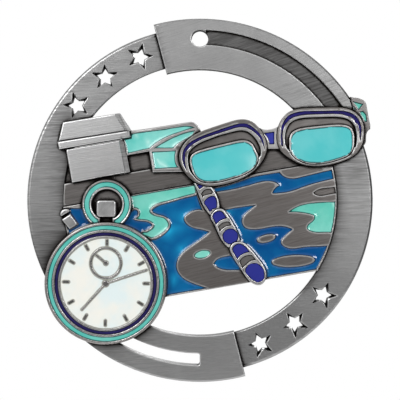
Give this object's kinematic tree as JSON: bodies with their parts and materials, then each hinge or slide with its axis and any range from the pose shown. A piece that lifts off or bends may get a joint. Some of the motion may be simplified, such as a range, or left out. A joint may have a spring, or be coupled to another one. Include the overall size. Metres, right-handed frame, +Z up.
{
  "type": "award medal",
  "caption": "Openwork swimming award medal in plated die-cast metal: pool, starting blocks, goggles, lane rope and stopwatch in relief with soft-enamel fills, and a ribbon hole in its rim.",
  "frame": {"origin": "centre of the ribbon hole, in the plane of the flat back", "axes": "+Z up, from the rim's centre towards the ribbon hole; the face looks along -Y and the flat back lies in Y = 0; +X to the viewer's right"},
  "size_m": [0.0668, 0.0042, 0.07],
  "materials": {
    "rim_metal": "antiqued and brushed",
    "band_metal": "antiqued and brushed",
    "block_metal": "brushed bright",
    "pool_metal": "antiqued, lightly brushed",
    "deck_metal": "antiqued dark",
    "relief_metal": "antiqued, polished edges",
    "watch_metal": "antiqued, polished edges",
    "mark_metal": "polished",
    "enamel_turquoise": "glossy soft enamel",
    "enamel_aqua": "glossy soft enamel",
    "enamel_blue": "glossy soft enamel",
    "enamel_navy": "glossy soft enamel",
    "enamel_indigo": "glossy soft enamel",
    "enamel_white": "glossy soft enamel"
  },
  "bodies": {
    "root": {"bezel_enamel": "enamel_turquoise", "block_recess": "deck_metal", "bottom_band": "band_metal", "bow": "relief_metal", "bow_enamel": "enamel_turquoise", "crown": "block_metal", "dial_enamel": "enamel_white", "dial_ticks": "mark_metal", "far_block_body": "relief_metal", "far_block_post_enamel": "enamel_turquoise", "far_block_top_enamel": "enamel_turquoise", "far_block_wedge_enamel": "enamel_turquoise", "goggle_strap": "relief_metal", "goggle_strap_enamel": "enamel_turquoise", "hand_hub": "mark_metal", "left_goggle_band": "enamel_navy", "left_goggle_frame": "relief_metal", "left_goggle_lens": "enamel_aqua", "long_hand": "mark_metal", "near_block_lip": "block_metal", "near_block_pedestal": "block_metal", "near_block_plate": "block_metal", "nose_bridge": "relief_metal", "nose_bridge_enamel": "enamel_indigo", "pool_corner": "pool_metal", "pool_deck_left": "deck_metal", "pool_deck_right": "deck_metal", "pool_left": "pool_metal", "pool_right": "pool_metal", "pusher_cap": "block_metal", "pusher_stem": "block_metal", "right_goggle_band": "enamel_navy", "right_goggle_frame": "relief_metal", "right_goggle_lens": "enamel_aqua", "rim_left": "rim_metal", "rim_right": "rim_metal", "rope_enamel_1": "enamel_indigo", "rope_enamel_2": "enamel_indigo", "rope_enamel_3": "enamel_indigo", "rope_float_1": "relief_metal", "rope_float_2": "relief_metal", "rope_float_3": "relief_metal", "short_hand": "mark_metal", "side_recess": "deck_metal", "stopwatch_case": "watch_metal", "subdial_enamel": "enamel_white", "subdial_hand": "mark_metal", "subdial_ring": "mark_metal", "top_band": "band_metal", "track_enamel": "enamel_navy", "water_corner": "enamel_blue", "water_inlet": "enamel_blue", "water_leaf": "enamel_blue", "water_left": "enamel_blue", "water_left_shallows": "enamel_turquoise", "water_right": "enamel_blue", "water_right_shallows": "enamel_turquoise", "water_spot": "enamel_turquoise", "water_top_strip": "enamel_blue"}
  },
  "joints": []
}
